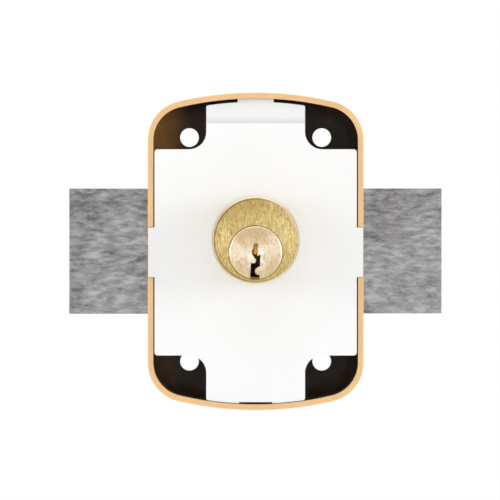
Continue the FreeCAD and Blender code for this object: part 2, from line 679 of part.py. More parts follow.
def make_cylinder_body():
    barrel = rod(BARREL_RADIUS, BARREL_FRONT, PLATE_RECESS, 0, 0)
    barrel = barrel.makeChamfer(BARREL_EDGE_BREAK, barrel.Edges[:1] + barrel.Edges[2:])
    cuts = [rod(PLUG_RADIUS + PLUG_CLEARANCE, BARREL_FRONT - 1, PLATE_RECESS + 1),
            rod(PLUG_HEAD_RADIUS + PLUG_HEAD_CLEARANCE, BARREL_FRONT - 1,
                BARREL_FRONT + PLUG_HEAD_DEPTH + PLUG_CLEARANCE),
            rod(CLIP_RADIUS + CLIP_RECESS_CLEARANCE, clip_shoulder(), PLATE_RECESS + 1)]
    for y in pin_stations():
        cuts.append(upright(CHAMBER_RADIUS, AXIS_Z, BARREL_RADIUS + 1, 0, y))
    tapped_from = PLATE_INNER - CYLINDER_SCREW_LENGTH - 1
    for x, z in cylinder_screw_places():
        cuts.append(rod(CYLINDER_SCREW_RADIUS + THREAD_CLEARANCE, tapped_from, PLATE_RECESS + 1, x, z))
    return barrel.cut(cuts)


def keyway_edges():
    """The warded slot for the key, drawn about the plug axis: three offset legs round two rounded wards."""
    def at(x, z):
        return vec(x, 0, AXIS_Z + z)

    def line(a, b):
        return Part.LineSegment(at(*a), at(*b)).toShape()

    def arc(a, b, c):
        return Part.Arc(at(*a), at(*b), at(*c)).toShape()

    bottom = -PLUG_HEAD_RADIUS - 1
    crown_left, crown_right = (-0.30, 2.20), (0.44, 2.24)
    hip_high, hip_left, hip_low = (-0.50, 1.45), (-0.90, 0.62), (-0.90, -0.36)
    ward_in, ward_nose, ward_out = (-0.10, -1.55), (0.08, -2.10), (-0.45, -2.70)
    foot_left, foot_low = (-1.22, -2.72), (-1.38, bottom)
    foot_right, lip_right = (0.92, bottom), (0.92, -5.70)
    nose_low, nose, nose_high = (0.40, -5.62), (-0.22, -4.70), (0.30, -3.82)
    knee_right, shoulder_right = (1.05, -3.35), (1.14, -0.50)
    step_in = (0.42, -0.90)
    return [line(crown_right, crown_left), line(crown_left, hip_high), line(hip_high, hip_left),
            line(hip_left, hip_low), line(hip_low, ward_in), arc(ward_in, ward_nose, ward_out),
            line(ward_out, foot_left), line(foot_left, foot_low), line(foot_low, foot_right),
            line(foot_right, lip_right), line(lip_right, nose_low), arc(nose_low, nose, nose_high),
            line(nose_high, knee_right), line(knee_right, shoulder_right), line(shoulder_right, step_in),
            line(step_in, crown_right)]


def keyway():
    return prism(keyway_edges(), BARREL_FRONT - 1, PLATE_RECESS)


def keyway_mouth():
    """The bevel round the keyway in the plug's face."""
    narrow = Part.Wire(keyway_edges())
    wide = narrow.makeOffset2D(2 * KEYWAY_EDGE_BREAK, 2)
    narrow.translate(vec(0, BARREL_FRONT + KEYWAY_EDGE_BREAK, 0))
    wide.translate(vec(0, BARREL_FRONT - KEYWAY_EDGE_BREAK, 0))
    return Part.makeLoft([narrow, wide], True, True)


def make_cylinder_plug():
    groove_start = clip_shoulder() + CLIP_PLAY
    groove_end = groove_start + CLIP_THICKNESS + CLIP_PLAY
    bevel_end, head_end = BARREL_FRONT + PLUG_EDGE_DEPTH, BARREL_FRONT + PLUG_HEAD_DEPTH
    bevel = Part.makeCone(PLUG_HEAD_RADIUS - PLUG_EDGE_BREAK, PLUG_HEAD_RADIUS, PLUG_EDGE_DEPTH,
                          vec(0, BARREL_FRONT, AXIS_Z), vec(0, 1, 0))
    plug = bevel.fuse([rod(PLUG_HEAD_RADIUS, bevel_end, head_end), rod(PLUG_RADIUS, head_end, plug_end())])
    plug = plug.removeSplitter()
    ring = rod(PLUG_RADIUS + 1, groove_start, groove_end).cut(
        rod(PLUG_RADIUS - CLIP_GROOVE_DEPTH, groove_start, groove_end))
    tail_from = plug_end() - TAIL_IN_PLUG - TAIL_CLEARANCE
    cuts = [keyway(), keyway_mouth(), ring, tail_slot(tail_from, plug_end() + 1),
            Part.makeCylinder(TAIL_PIN_RADIUS + THREAD_CLEARANCE, 2 * PLUG_RADIUS + 2,
                              vec(-PLUG_RADIUS - 1, tail_pin_height(), AXIS_Z), vec(1, 0, 0))]
    for y in pin_stations():
        cuts.append(upright(CHAMBER_RADIUS, AXIS_Z + CHAMBER_FLOOR, AXIS_Z + PLUG_RADIUS + 1, 0, y))
    return plug.cut(cuts)


def make_plug_clip():
    start = clip_shoulder() + CLIP_PLAY + CLIP_PLAY / 2
    end = start + CLIP_THICKNESS
    bore = PLUG_RADIUS - CLIP_GROOVE_DEPTH + CLIP_PLAY
    half = math.radians(CLIP_GAP_ANGLE / 2)
    far_x, far_z = 2 * CLIP_RADIUS * math.sin(half), AXIS_Z - 2 * CLIP_RADIUS * math.cos(half)
    wedge = prism(polygon([(0, AXIS_Z), (-far_x, far_z), (far_x, far_z)]), start - 1, end + 1)
    return rod(CLIP_RADIUS, start, end).cut([rod(bore, start - 1, end + 1), wedge])


def tail_pin_height():
    return clip_shoulder() - TAIL_PIN_RADIUS - CLIP_THICKNESS


def make_tailpiece():
    start = plug_end() - TAIL_IN_PLUG
    end = REAR_JOURNAL_START + TAIL_IN_HUB
    half_x, half_z = TAIL_THICKNESS / 2, TAIL_WIDTH / 2
    bar = block(-half_x, half_x, start, end, AXIS_Z - half_z, AXIS_Z + half_z)
    hole = Part.makeCylinder(TAIL_PIN_RADIUS + THREAD_CLEARANCE, 2 * TAIL_WIDTH,
                             vec(-TAIL_WIDTH, tail_pin_height(), AXIS_Z), vec(1, 0, 0))
    return bar.cut(hole)


def make_tailpiece_pin():
    half = PLUG_RADIUS - 2 * CLIP_PLAY - THREAD_CLEARANCE
    return Part.makeCylinder(TAIL_PIN_RADIUS, 2 * half, vec(-half, tail_pin_height(), AXIS_Z), vec(1, 0, 0))


def screw_from_inside(x, z):
    """A cheese-head screw: head on the inner face of the back plate, shank through it into the barrel."""
    head_end = PLATE_INNER + CYLINDER_SCREW_HEAD_HEIGHT
    shank = rod(CYLINDER_SCREW_RADIUS, PLATE_INNER - CYLINDER_SCREW_LENGTH, PLATE_INNER, x, z)
    head = rod(CYLINDER_SCREW_HEAD_RADIUS, PLATE_INNER, head_end, x, z)
    width = CYLINDER_SCREW_HEAD_RADIUS / 6
    slot = block(x - CYLINDER_SCREW_HEAD_RADIUS, x + CYLINDER_SCREW_HEAD_RADIUS,
                 head_end - CYLINDER_SCREW_HEAD_HEIGHT / 2, head_end + 1, z - width, z + width)
    return shank.fuse(head).removeSplitter().cut(slot)


def make_cylinder_screws():
    return [screw_from_inside(x, z) for x, z in cylinder_screw_places()]


# Pin tumblers, shown where the right key would hold them: every pair parts at the shear line

def shear_line():
    return AXIS_Z + PLUG_RADIUS


def make_key_pin(y, length):
    """A key pin: top rounded with the plug, bottom pointed where it rides on the key."""
    top = shear_line()
    low = top - length
    body = upright(PIN_RADIUS, low + KEY_PIN_POINT, top, 0, y)
    point = Part.makeCone(KEY_PIN_TIP_RADIUS, PIN_RADIUS, KEY_PIN_POINT, vec(0, y, low), vec(0, 0, 1))
    crown = rod(PLUG_RADIUS - PLUG_CLEARANCE, BARREL_FRONT, PLATE_RECESS)
    return body.fuse(point).removeSplitter().common(crown)


def driver_bottom():
    return shear_line() + SHEAR_GAP


def make_driver_pin(y):
    pin = upright(PIN_RADIUS, driver_bottom(), driver_bottom() + DRIVER_PIN_LENGTH, 0, y)
    return pin.makeChamfer(PIN_RADIUS / 8, pin.Edges)


def cap_bottom():
    return BARREL_RADIUS - CAP_THICKNESS


def make_chamber_caps():
    """Brass discs pressed into the tops of the chambers, finished flush with the barrel."""
    barrel = rod(BARREL_RADIUS, BARREL_FRONT, PLATE_RECESS, 0, 0)
    radius = CHAMBER_RADIUS - THREAD_CLEARANCE / 5
    return [upright(radius, cap_bottom(), BARREL_RADIUS + 1, 0, y).common(barrel) for y in pin_stations()]


def arc_from(start, heading, end):
    """The arc from start to end that leaves start along heading."""
    chord = end - start
    along = FreeCAD.Vector(chord).normalize()
    swing = math.acos(max(-1.0, min(1.0, heading.dot(along))))
    side = heading - along * heading.dot(along)
    middle = (start + end) * 0.5 + side.normalize() * (chord.Length / 2 * math.tan(swing / 2))
    return Part.Arc(start, middle, end).toShape()


def biarc(start, heading, end, arrival):
    """Two arcs that meet with one tangent and keep both end directions."""
    chord = end - start
    both = heading + arrival
    share = 2 * (1 - heading.dot(arrival))
    reach = (-chord.dot(both) + math.sqrt(chord.dot(both) ** 2 + share * chord.dot(chord))) / share
    meeting = (start + heading * reach + end - arrival * reach) * 0.5
    first = arc_from(start, heading, meeting)
    back = arc_from(end, arrival * -1, meeting)
    middle = back.valueAt((back.FirstParameter + back.LastParameter) / 2)
    return [first, Part.Arc(meeting, middle, end).toShape()]


def make_pin_spring(y):
    """A coil spring between the driver pin and its cap, wound on quarter-turn biarcs."""
    low = driver_bottom() + DRIVER_PIN_LENGTH + SPRING_WIRE / 2
    high = cap_bottom() - SPRING_WIRE / 2
    quarters = round(4 * SPRING_TURNS)
    rise = (high - low) / quarters
    climb = rise / (math.pi / 2)

    def place(n):
        angle = n * math.pi / 2
        return vec(SPRING_RADIUS * math.cos(angle), y + SPRING_RADIUS * math.sin(angle), low + rise * n)

    def heading(n):
        angle = n * math.pi / 2
        return vec(-SPRING_RADIUS * math.sin(angle), SPRING_RADIUS * math.cos(angle), climb).normalize()

    path = []
    for n in range(quarters):
        path += biarc(place(n), heading(n), place(n + 1), heading(n + 1))
    section = Part.Wire(Part.Circle(place(0), heading(0), SPRING_WIRE / 2).toShape())
    return Part.Wire(path).makePipeShell([section], True, False)


# Everything, by node name

def all_nodes():
    nodes = {
        "case_shell": [make_case_shell()],
        "back_plate": [make_back_plate()],
        "guide_pillars": make_guide_pillars(),
        "spacer_sleeves": make_spacer_sleeves(),
        "spring_washers": make_spring_washers(),
        "case_screws": make_case_screws(),
        "hub_bush": [make_hub_bush()],
        "drive_pinion": [make_drive_pinion()],
        "knob": [make_knob()],
        "knob_set_screw": [make_knob_set_screw()],
        "left_bolt": [make_left_bolt(LEFT_LAYER)],
        "right_bolt": [make_right_bolt()],
        "cylinder_body": [make_cylinder_body()],
        "cylinder_screws": make_cylinder_screws(),
        "chamber_caps": make_chamber_caps(),
        "cylinder_plug": [make_cylinder_plug()],
        "plug_clip": [make_plug_clip()],
        "tailpiece": [make_tailpiece()],
        "tailpiece_pin": [make_tailpiece_pin()],
    }
    for number, (y, length) in enumerate(zip(pin_stations(), KEY_PIN_LENGTHS), start=1):
        nodes[f"key_pin_{number}"] = [make_key_pin(y, length)]
        nodes[f"driver_pin_{number}"] = [make_driver_pin(y)]
        nodes[f"pin_spring_{number}"] = [make_pin_spring(y)]
    return nodes


def main():
    os.makedirs("parts", exist_ok=True)
    for name, shapes in all_nodes().items():
        solids = [solid for shape in shapes for solid in shape.Solids]
        whole = solids[0] if len(solids) == 1 else Part.makeCompound(solids)
        whole.exportStep(f"parts/{name}.step")
        state = "valid" if whole.isValid() else "INVALID"
        print(name, len(solids), "solids", round(whole.Volume, 2), "mm3", state)
    print("throw", round(THROW, 3), "mm for one turn of a pinion of module", round(GEAR_MODULE, 4))


main()
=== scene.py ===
"""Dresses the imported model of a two-bolt rim deadbolt: every piece's finish, the stage, lamps and camera."""
import bpy
import json
import math
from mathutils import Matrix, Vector


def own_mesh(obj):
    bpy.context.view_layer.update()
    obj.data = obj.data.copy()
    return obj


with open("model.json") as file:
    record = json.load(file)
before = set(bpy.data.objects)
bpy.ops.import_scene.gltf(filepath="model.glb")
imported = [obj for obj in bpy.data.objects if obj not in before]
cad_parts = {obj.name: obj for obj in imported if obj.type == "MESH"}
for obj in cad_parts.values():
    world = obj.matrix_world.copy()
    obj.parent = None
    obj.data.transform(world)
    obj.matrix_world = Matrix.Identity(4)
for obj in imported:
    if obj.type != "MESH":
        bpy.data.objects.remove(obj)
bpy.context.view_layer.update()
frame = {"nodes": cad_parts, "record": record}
NODES = frame["nodes"]

MM = 0.001
PER_MM = 1000.0

# Places in the frame, in millimetres: X runs across, Y from the door side to the room side, and Z up
HUB_Z = -3.1
CASE_HALF_WIDTH = 27.5
CAVITY_HALF_WIDTH = 26.1
CAVITY_DEPTH = 20.6
CAVITY_MIDDLE_Y = 10.0
CORE_HALF_WIDTH = 15.0
CORE_HALF_HEIGHT = 28.0
CREASE_Z = 29.6
BARREL_FACE_RADIUS = 10.65
BARREL_RADIUS = 11.0
PLUG_FACE_RADIUS = 6.35
PLUG_RIM_RADIUS = 6.7
KEYWAY_X = 0.1

# A hair's breadth in millimetres, for telling the surfaces of the case apart
HAIR = 0.05

# Colours
WHITE = (1.0, 1.0, 1.0)
GOLD = (0.81, 0.505, 0.242)
# The lacquer's edges: rubbed and painted highlight outside, painted shade along the rim's inner edge
GOLD_WEAR_AND_HIGHLIGHT = (0.97, 0.70, 0.42)
RIM_INNER_SHADE = (0.36, 0.215, 0.085)
# The cavity's painted shade, and the painted light at its upper left
CAVITY_SHADE_DARK = (0.10, 0.073, 0.054)
CAVITY_SHADE_LIGHT = (0.14, 0.10, 0.071)
CAVITY_PAINTED_LIGHT = (0.95, 0.56, 0.17)
ENAMEL_DARK = (0.905, 0.909, 0.918)
ENAMEL_LIGHT = (0.925, 0.928, 0.936)
ENAMEL_RUBBED = (0.70, 0.695, 0.68)
# Painted shade for the top tongue's step
CREASE_SHADE_COLOUR = (0.72, 0.72, 0.725)
ROLLED_DARK = (0.15, 0.149, 0.152)
ROLLED = (0.295, 0.293, 0.298)
ROLLED_LIGHT = (0.46, 0.459, 0.465)
ROLLED_RUBBED = (0.50, 0.495, 0.49)
BRASS = (0.66, 0.48, 0.185)
BRASS_LIGHT = (0.91, 0.74, 0.385)
BRASS_DARK = (0.40, 0.275, 0.08)
# Painted shade and shadow lines on the barrel's face and rim, and the painted highlight of its chamfer
BRASS_LINE_SHADE = (0.20, 0.13, 0.045)
SEAM_SHADOW = (0.16, 0.10, 0.035)
OUTLINE_SHADE = (0.24, 0.15, 0.05)
CHAMFER_HIGHLIGHT = (0.93, 0.82, 0.54)
TURNED_BRASS = (0.77, 0.65, 0.40)
TURNED_BRASS_LIGHT = (0.92, 0.83, 0.58)
PALE_BRASS = (0.78, 0.60, 0.39)
PALE_BRASS_LIGHT = (0.97, 0.85, 0.66)
PALE_BRASS_DARK = (0.56, 0.40, 0.24)
PALE_BRASS_DULL = (0.55, 0.38, 0.17)
# The plug's pale marks, partly rubbed and partly a painted highlight
PALE_BRASS_RUBBED_AND_HIGHLIGHT = (1.0, 0.95, 0.80)
PALE_BRASS_EDGE_AND_HIGHLIGHT = (0.76, 0.64, 0.43)
PIN_BRASS_DARK = (1.0, 0.47, 0.10)
PIN_BRASS = (1.0, 0.61, 0.19)
BUSH_BRASS_DARK = (0.48, 0.33, 0.11)
BUSH_BRASS = (0.68, 0.49, 0.20)
ZINC_DARK = (0.47, 0.49, 0.53)
ZINC = (0.66, 0.68, 0.71)
MACHINED_DARK = (0.33, 0.33, 0.34)
MACHINED = (0.56, 0.56, 0.57)
SPRING_DARK = (0.28, 0.28, 0.30)
SPRING = (0.46, 0.46, 0.48)
SCREW_DARK = (0.50, 0.51, 0.53)
SCREW = (0.74, 0.75, 0.77)
GREASE = (0.44, 0.28, 0.20)

# What each part of the bolts' colour is multiplied by beside the case: a painted tint that offsets the gold
# case's warm reflection
REFLECTION_OFFSET_TINT = (1.07, 1.17, 1.26)

# How the grain of small metal pieces is scaled on each axis
PLAIN = (1.0, 1.0, 1.0)
TURNED = (0.3, 6.0, 0.3)
TURNED_UPRIGHT = (0.3, 0.3, 5.0)
SCREW_GRAIN = (2.0, 0.6, 2.0)

# How the brass faces are brushed: the tilts of their strokes in degrees, and that of the line of the painted
# fan highlights
BARREL_TILTS = (4.0, -9.0, 14.0)
PLUG_TILTS = (-2.0, 32.0, -28.0)
FAN_HIGHLIGHT_TILT = math.radians(12.0)


# Node graphs

# The places of the colour sockets on a Mix node
MIX_A = 6
MIX_B = 7
MIX_RESULT = 2

# How the nodes are laid out in the editor
NODES_IN_ROW = 9
NODE_WIDTH = 220
NODE_HEIGHT = 170


class Graph:
    """The node tree of a new material or world, with one short call for each kind of node."""

    def __init__(self, owner, shader="Principled BSDF"):
        owner.use_nodes = True
        self.owner = owner
        self.tree = owner.node_tree
        self.shader = self.tree.nodes[shader]
        self.count = 0

    def node(self, kind, **settings):
        made = self.tree.nodes.new(kind)
        row, place = divmod(self.count, NODES_IN_ROW)
        made.location = (-NODE_WIDTH * (place + 1), -NODE_HEIGHT * row)
        self.count += 1
        for name, value in settings.items():
            setattr(made, name, value)
        return made

    def feed(self, socket, value):
        """Links a socket to another one, or sets its own value."""
        if isinstance(value, bpy.types.NodeSocket):
            self.tree.links.new(value, socket)
        elif isinstance(value, tuple) and len(value) == 3 and socket.type == "RGBA":
            socket.default_value = (*value, 1.0)
        else:
            socket.default_value = value

    def set(self, **inputs):
        """Sets inputs of the surface shader, named with _ for a space."""
        for name, value in inputs.items():
            self.feed(self.shader.inputs[name.replace("_", " ")], value)

    def math(self, operation, a, b=0.0):
        made = self.node("ShaderNodeMath", operation=operation)
        self.feed(made.inputs[0], a)
        self.feed(made.inputs[1], b)
        return made.outputs[0]

    def plus(self, total, *others):
        for other in others:
            total = self.math("ADD", total, other)
        return total

    def minus(self, a, b):
        return self.math("SUBTRACT", a, b)

    def times(self, product, *others):
        for other in others:
            product = self.math("MULTIPLY", product, other)
        return product

    def absolute(self, a):
        return self.math("ABSOLUTE", a)

    def length(self, a, b):
        """How long a flat vector with these two parts is."""
        return self.math("SQRT", self.plus(self.times(a, a), self.times(b, b)))

    def vector(self, operation, a, b=(0.0, 0.0, 0.0)):
        """One step of vector arithmetic, which gives a vector, or a number for a dot product."""
        made = self.node("ShaderNodeVectorMath", operation=operation)
        self.feed(made.inputs[0], a)
        self.feed(made.inputs[1], b)
        return made.outputs["Value" if operation == "DOT_PRODUCT" else "Vector"]

    def split(self, vector):
        made = self.node("ShaderNodeSeparateXYZ")
        self.feed(made.inputs[0], vector)
        return made.outputs

    def mix(self, factor, a, b):
        """Colour a where the factor is 0, and colour b where it is 1."""
        made = self.node("ShaderNodeMix", data_type="RGBA")
        self.feed(made.inputs[0], factor)
        self.feed(made.inputs[MIX_A], a)
        self.feed(made.inputs[MIX_B], b)
        return made.outputs[MIX_RESULT]

    def span(self, value, low, high, to_low=0.0, to_high=1.0):
        """Maps low..high smoothly and without overrun onto another range."""
        made = self.node("ShaderNodeMapRange", interpolation_type="SMOOTHSTEP")
        for socket, number in zip(made.inputs, (value, low, high, to_low, to_high)):
            self.feed(socket, number)
        return made.outputs[0]

    def noise(self, vector, scale=1.0, detail=3.0, roughness=0.5, distortion=0.0):
        """Soft noise that varies about 0.5."""
        made = self.node("ShaderNodeTexNoise")
        self.feed(made.inputs["Vector"], vector)
        made.inputs["Scale"].default_value = scale
        made.inputs["Detail"].default_value = detail
        made.inputs["Roughness"].default_value = roughness
        made.inputs["Distortion"].default_value = distortion
        return made.outputs[0]

    def bump(self, height, strength, depth_mm):
        made = self.node("ShaderNodeBump")
        made.inputs["Strength"].default_value = strength
        made.inputs["Distance"].default_value = depth_mm * MM
        self.feed(made.inputs["Height"], height)
        return made.outputs[0]

    def position(self):
        """The place on the piece in millimetres, which stays with the piece when it moves."""
        made = self.node("ShaderNodeVectorMath", operation="SCALE")
        self.feed(made.inputs[0], self.node("ShaderNodeTexCoord").outputs["Object"])
        made.inputs["Scale"].default_value = PER_MM
        return made.outputs[0]

    def stretched(self, x, y, z):
        """The place on the piece, scaled on each axis: a small number draws the pattern out along it."""
        return self.vector("MULTIPLY", self.position(), (x, y, z))

    def strokes(self, degrees):
        """Brush strokes seen along Y: drawn out up and down, then tilted by some degrees."""
        turned = self.node("ShaderNodeVectorRotate", rotation_type="Y_AXIS")
        self.feed(turned.inputs["Vector"], self.position())
        turned.inputs["Angle"].default_value = math.radians(degrees)
        drawn_out = self.vector("MULTIPLY", turned.outputs[0], (2.4, 0.4, 0.3))
        return self.noise(drawn_out, detail=4.0, roughness=0.62)

    def distance(self, x, z):
        """How far the surface lies from an axis along Y through (x, z), in millimetres."""
        across, _, up = self.split(self.position())
        return self.length(self.minus(across, x), self.minus(up, z))

    def outward(self, x, z):
        """The direction straight away from an axis along Y through (x, z)."""
        away = self.vector("SUBTRACT", self.position(), (x, 0.0, z))
        return self.vector("NORMALIZE", self.vector("MULTIPLY", away, (1.0, 0.0, 1.0)))

    def normal_y(self):
        """Which way the surface faces along Y: -1 towards the door, 0 on walls, 1 towards the room."""
        _, part, _ = self.split(self.node("ShaderNodeNewGeometry").outputs["True Normal"])
        return part

    def facing(self):
        """How squarely the surface faces along Y, either way: 1 on flat faces, 0 on walls."""
        return self.absolute(self.normal_y())

    def on_face(self):
        """1 on flat faces and most of their roundings, 0 on walls."""
        return self.span(self.facing(), 0.05, 0.3)

    def bevelled(self):
        """1 on chamfers and roundings between a face and a wall, 0 on both of them."""
        facing = self.facing()
        return self.times(self.span(facing, 0.15, 0.45), self.span(facing, 0.99, 0.9))

    def rounded_normal(self, radius_mm):
        """The normal as it would be with the edges rounded."""
        made = self.node("ShaderNodeBevel", samples=6)
        made.inputs["Radius"].default_value = radius_mm * MM
        return made.outputs[0]

    def worn_edges(self, radius_mm):
        """1 along sharp outer edges, from how far a rounded normal leans away from the real one."""
        real = self.node("ShaderNodeNewGeometry").outputs["Normal"]
        return self.span(self.vector("DOT_PRODUCT", self.rounded_normal(radius_mm), real), 0.995, 0.86)

    def seen_directly(self):
        """1 for rays from the camera, also reflected or through glass, and 0 for light on dull surfaces."""
        rays = self.node("ShaderNodeLightPath").outputs
        seen = rays["Is Camera Ray"]
        for name in ("Is Glossy Ray", "Is Transmission Ray"):
            seen = self.math("MAXIMUM", seen, rays[name])
        return seen


def new_finish(name):
    """The graph of a new material."""
    return Graph(bpy.data.materials.new(name))


def shade(colour, amount):
    """The colour with every part multiplied by one amount."""
    return tuple(min(1.0, part * amount) for part in colour)


# Finishes

def inner_edge(g, radius_mm):
    """1 along the inner edge of the case's rim, where a rounded normal turns in towards the hub's axis."""
    lean = g.vector("DOT_PRODUCT", g.rounded_normal(radius_mm), g.outward(0.0, HUB_Z))
    _, depth, _ = g.split(g.position())
    return g.times(g.span(lean, -0.05, -0.5), g.span(depth, 1.5, 0.5))


def lacquer(name, colour, edge_wear_and_highlight, inner_shade_colour=None):
    """Satin gold-bronze lacquer on steel: fine metal flake, a little orange peel, paler on its edges, partly
    rubbed and partly a painted highlight.

    It darkens to the inner colour, where one is given, along the inner edge of the case's rim: a painted shade
    where the rim turns into the cavity.
    """
    g = new_finish(name)
    place = g.position()
    cloud = g.noise(place, 0.09, 3.0, 0.6)
    flake = g.noise(place, 7.0, 3.0, 0.7)
    peel = g.noise(place, 2.2, 2.0, 0.5)
    patchy = g.noise(place, 1.1, 4.0, 0.7)
    scuff = g.noise(g.stretched(0.9, 0.9, 0.12), 1.6, 5.0, 0.7, 0.4)
    base = g.mix(g.span(cloud, 0.3, 0.7), shade(colour, 0.93), shade(colour, 1.06))
    base = g.mix(g.span(flake, 0.35, 0.7, to_high=0.35), base, shade(colour, 1.38))
    base = g.mix(g.span(flake, 0.5, 0.3, to_high=0.35), base, shade(colour, 0.70))
    base = g.mix(g.span(scuff, 0.66, 0.78, to_high=0.25), base, shade(colour, 0.72))
    # Paler on the edges: partly rubbed lacquer, partly a painted highlight
    base = g.mix(g.times(g.worn_edges(0.5), g.span(patchy, 0.32, 0.6, to_low=0.35)), base, edge_wear_and_highlight)
    # Painted shade along the rim's inner edge
    if inner_shade_colour:
        base = g.mix(g.times(inner_edge(g, 0.35), 0.6), base, inner_shade_colour)
    g.set(Base_Color=base, Metallic=0.65, Coat_Weight=0.25, Coat_Roughness=0.18,
          Roughness=g.plus(g.span(flake, 0.3, 0.7, 0.33, 0.44), g.span(scuff, 0.6, 0.8, to_high=0.12)),
          Normal=g.bump(g.plus(peel, g.times(flake, 0.25)), strength=0.22, depth_mm=0.05))
    return g.owner


def case_inside_painted_shade():
    """The inside of the case: a dark paint standing in for the cavity's deep shade, with a painted patch of
    light in brown at the upper left.
    """
    g = new_finish("case_inside_painted_shade")
    place = g.position()
    across, _, up = g.split(place)
    patch = g.noise(place, 0.35, 3.0, 0.55)
    base = g.mix(g.span(patch, 0.3, 0.7), CAVITY_SHADE_DARK, CAVITY_SHADE_LIGHT)
    # Painted light where the lamps reach into the upper left of the cavity
    painted_light_upper_left = g.times(g.span(across, -16.5, -26.0), g.span(up, -36.0, 20.0, to_low=0.15))
    base = g.mix(g.times(painted_light_upper_left, g.span(patch, 0.2, 0.7, to_low=0.8)), base, CAVITY_PAINTED_LIGHT)
    g.set(Base_Color=base, Roughness=g.span(patch, 0.3, 0.7, 0.45, 0.55), Specular_IOR_Level=0.3,
          Normal=g.bump(g.noise(place, 3.0, 3.0, 0.6), strength=0.2, depth_mm=0.05))
    return g.owner


def enamel():
    """White stoved enamel: faint orange peel, a little grey on rubbed edges, and a painted shade in the top
    tongue's step.
    """
    g = new_finish("plate_enamel")
    place = g.position()
    _, _, up = g.split(place)
    cloud = g.noise(place, 0.06, 3.0, 0.55)
    peel = g.noise(place, 1.6, 2.0, 0.5)
    patchy = g.noise(place, 0.8, 4.0, 0.7)
    base = g.mix(g.span(cloud, 0.3, 0.7), ENAMEL_DARK, ENAMEL_LIGHT)
    # Painted shade in the step just above the top tongue's crease
    above_crease = g.span(up, CREASE_Z - 0.3, CREASE_Z + 0.2)
    crease_shade = g.times(above_crease, g.span(up, CREASE_Z + 2.0, CREASE_Z, 0.22, 0.48))
    base = g.mix(crease_shade, base, CREASE_SHADE_COLOUR)
    base = g.mix(g.times(g.worn_edges(0.22), g.span(patchy, 0.42, 0.62, 0.1, 0.5)), base, ENAMEL_RUBBED)
    g.set(Base_Color=base, Roughness=g.span(peel, 0.3, 0.7, 0.28, 0.36), Coat_Weight=0.2, Coat_Roughness=0.1,
          Normal=g.bump(peel, strength=0.1, depth_mm=0.04))
    return g.owner


def beside_case(g):
    """1 on the bolts' door side where they leave the case, less towards the upper left: where the painted cool
    tint lies.
    """
    across, _, up = g.split(g.position())
    near = g.span(g.absolute(across), CASE_HALF_WIDTH + 6.5, CASE_HALF_WIDTH + 0.5)
    to_lower_right = g.minus(g.times(across, 0.8), g.times(up, 0.5))
    return g.times(near, g.span(to_lower_right, -34.0, 18.0, to_low=0.25), g.span(g.normal_y(), 0.0, -0.8))


def rolled_steel():
    """Flat bar as rolled: soft mottles drawn out along it, duller in places, and paler and cooler by the case,
    a painted tint against the gold case's warm reflection.
    """
    g = new_finish("bolt_steel")
    broad = g.noise(g.stretched(0.18, 0.4, 0.5), 1.0, 3.0, 0.6, 0.3)
    fine = g.noise(g.stretched(0.37, 0.8, 1.05), 1.0, 3.0, 0.62, 0.3)
    grain = g.noise(g.stretched(1.4, 2.0, 3.0), 1.0, 2.0, 0.55)
    cloud = g.noise(g.position(), 0.075, 1.0, 0.5)
    across, _, up = g.split(g.position())
    top_edge = g.span(up, 0.0, 9.0, 0.01, -0.045)
    left_end = g.span(across, -32.0, -43.0, 0.0, -0.03)
    tone = g.plus(g.times(broad, 0.45), g.times(fine, 0.55), g.span(grain, 0.3, 0.7, -0.02, 0.02),
                  g.span(cloud, 0.35, 0.65, -0.035, 0.03), top_edge, left_end)
    base = g.mix(g.span(tone, 0.32, 0.50), ROLLED_DARK, ROLLED)
    base = g.mix(g.span(tone, 0.47, 0.67), base, ROLLED_LIGHT)
    # Painted tint that offsets the gold case's warm reflection on the bolts
    base = g.mix(beside_case(g), base, g.vector("MULTIPLY", base, REFLECTION_OFFSET_TINT))
    base = g.mix(g.times(g.worn_edges(0.3), 0.5), base, ROLLED_RUBBED)
    g.set(Base_Color=base, Metallic=0.85, Roughness=g.span(tone, 0.38, 0.62, 0.58, 0.44),
          Normal=g.bump(tone, strength=0.25, depth_mm=0.06))
    return g.owner


def brushed_brass(g, colour, light, dark, tilts, wall_dark, wall_light):
    """Brass brushed several ways on its faces and turned on its round walls."""
    first, second, third = (g.strokes(tilt) for tilt in tilts)
    area = g.noise(g.position(), 0.3, 2.0, 0.5, 0.6)
    brush = g.mix(g.span(area, 0.42, 0.52), first, second)
    brush = g.mix(g.span(area, 0.50, 0.60, to_high=0.8), brush, third)
    fleck = g.noise(g.stretched(2.4, 1.5, 1.2), 1.0, 3.0, 0.65)
    patch = g.noise(g.stretched(0.22, 0.2, 0.15), 1.0, 3.0, 0.55, 0.9)
    tone = g.plus(g.times(brush, 0.62), g.times(fleck, 0.38))
    face = g.mix(g.span(tone, 0.41, 0.49), dark, colour)
    face = g.mix(g.span(tone, 0.495, 0.595), face, light)
    face = g.mix(g.span(patch, 0.30, 0.46, 0.4, 0.0), face, dark)
    face = g.mix(g.span(patch, 0.50, 0.68, to_high=0.5), face, light)
    turned = g.noise(g.stretched(0.05, 7.0, 0.05), 1.0, 4.0, 0.6)
    wall = g.mix(g.span(turned, 0.32, 0.68), wall_dark, wall_light)
    on_face = g.on_face()
    grain = g.mix(on_face, turned, brush)
    g.set(Metallic=0.92, Roughness=g.span(grain, 0.3, 0.7, 0.42, 0.28),
          Normal=g.bump(grain, strength=0.25, depth_mm=0.03))
    return g.mix(on_face, wall, face)


